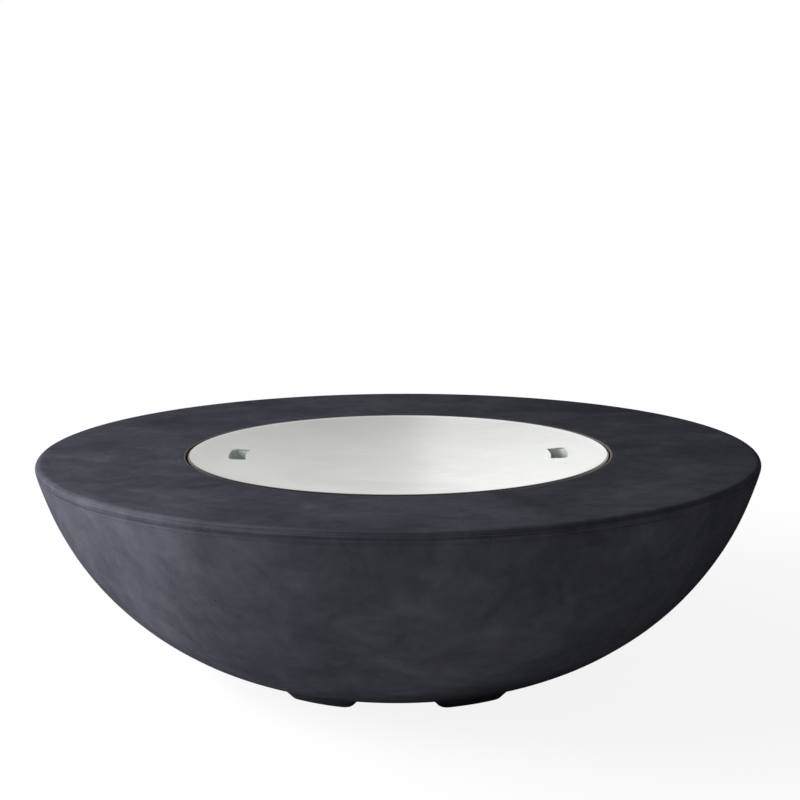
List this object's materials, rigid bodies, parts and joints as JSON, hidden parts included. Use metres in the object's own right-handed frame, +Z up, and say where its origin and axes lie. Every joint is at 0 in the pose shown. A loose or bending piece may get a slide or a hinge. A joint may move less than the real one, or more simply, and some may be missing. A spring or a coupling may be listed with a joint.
{
  "type": "concrete fire pit",
  "caption": "Round concrete gas fire pit bowl on low cast feet, with a lift-off dished steel lid over a drop-in burner pan, ring burner, lava rock and rear controls.",
  "frame": {"origin": "on the floor under the bowl's centre", "axes": "+Z up along the bowl's axis, -Y towards the front of the picture, controls at +Y"},
  "size_m": [1.22, 1.22, 0.373],
  "materials": {
    "concrete": "matt charcoal cast concrete with trowel marks and cloudy mottling",
    "lid_steel": "fine brushed stainless steel",
    "cup_steel": "pressed stainless steel",
    "pan_steel": "stainless sheet",
    "burner_steel": "heat-tinted stainless tube",
    "gasket_rubber": "heat-proof fibre seal",
    "plated_steel": "zinc-plated steel",
    "brass": "machined brass",
    "hose_rubber": "smooth black gas hose",
    "ceramic": "white alumina",
    "bare_steel": "bare steel",
    "lead_rubber": "silicone-insulated lead",
    "trim_chrome": "polished plate",
    "valve_alloy": "die-cast alloy",
    "knob_plastic": "matt black moulding",
    "igniter_plastic": "black moulding",
    "button_plastic": "glossy red moulding",
    "lava": "porous dark lava rock"
  },
  "bodies": {
    "pit": {"concrete_bowl": "concrete", "burner_pan": "pan_steel", "burner": "burner_steel", "hub_gasket": "gasket_rubber", "hub_locknut": "plated_steel", "air_mixer": "plated_steel", "gas_orifice": "brass", "gas_elbow": "brass", "flex_hose": "hose_rubber", "hose_nuts": "brass", "pilot_bracket": "plated_steel", "pilot_guard": "plated_steel", "pilot_screws": "plated_steel", "electrode_insulator": "ceramic", "spark_electrode": "bare_steel", "thermocouple": "bare_steel", "ignition_lead": "lead_rubber", "thermocouple_lead": "brass", "knob_bezel": "trim_chrome", "barrel_nut": "trim_chrome", "valve_body": "valve_alloy", "inlet_fitting": "brass", "igniter_body": "igniter_plastic", "igniter_nut": "igniter_plastic", "lava_rocks": "lava"},
    "lid": {"lid": "lid_steel", "lid_finger_cups": "cup_steel"},
    "valve_plunger": {"stem_collar": "brass"},
    "knob": {"valve_stem": "bare_steel", "control_knob": "knob_plastic"},
    "button": {"igniter_button": "button_plastic"}
  },
  "joints": [
    {"name": "lid_lift", "type": "slide", "parent": "pit", "child": "lid", "axis": [0, 0, 1], "range_m": [0, 0.3]},
    {"name": "knob_push", "type": "slide", "parent": "pit", "child": "valve_plunger", "axis": [-0.086, -0.8927, 0.4424], "range_m": [0, 0.004], "stiffness_N_per_m": 900, "springref_m": -0.004},
    {"name": "knob_turn", "type": "hinge", "parent": "valve_plunger", "child": "knob", "pos_m": [0.0544, 0.56496, 0.27154], "axis": [0.086, 0.8927, -0.4424], "range_deg": [0, 180]},
    {"name": "igniter_press", "type": "slide", "parent": "pit", "child": "button", "axis": [0.086, -0.8927, 0.4424], "range_m": [0, 0.0035], "stiffness_N_per_m": 700, "springref_m": -0.003}
  ]
}
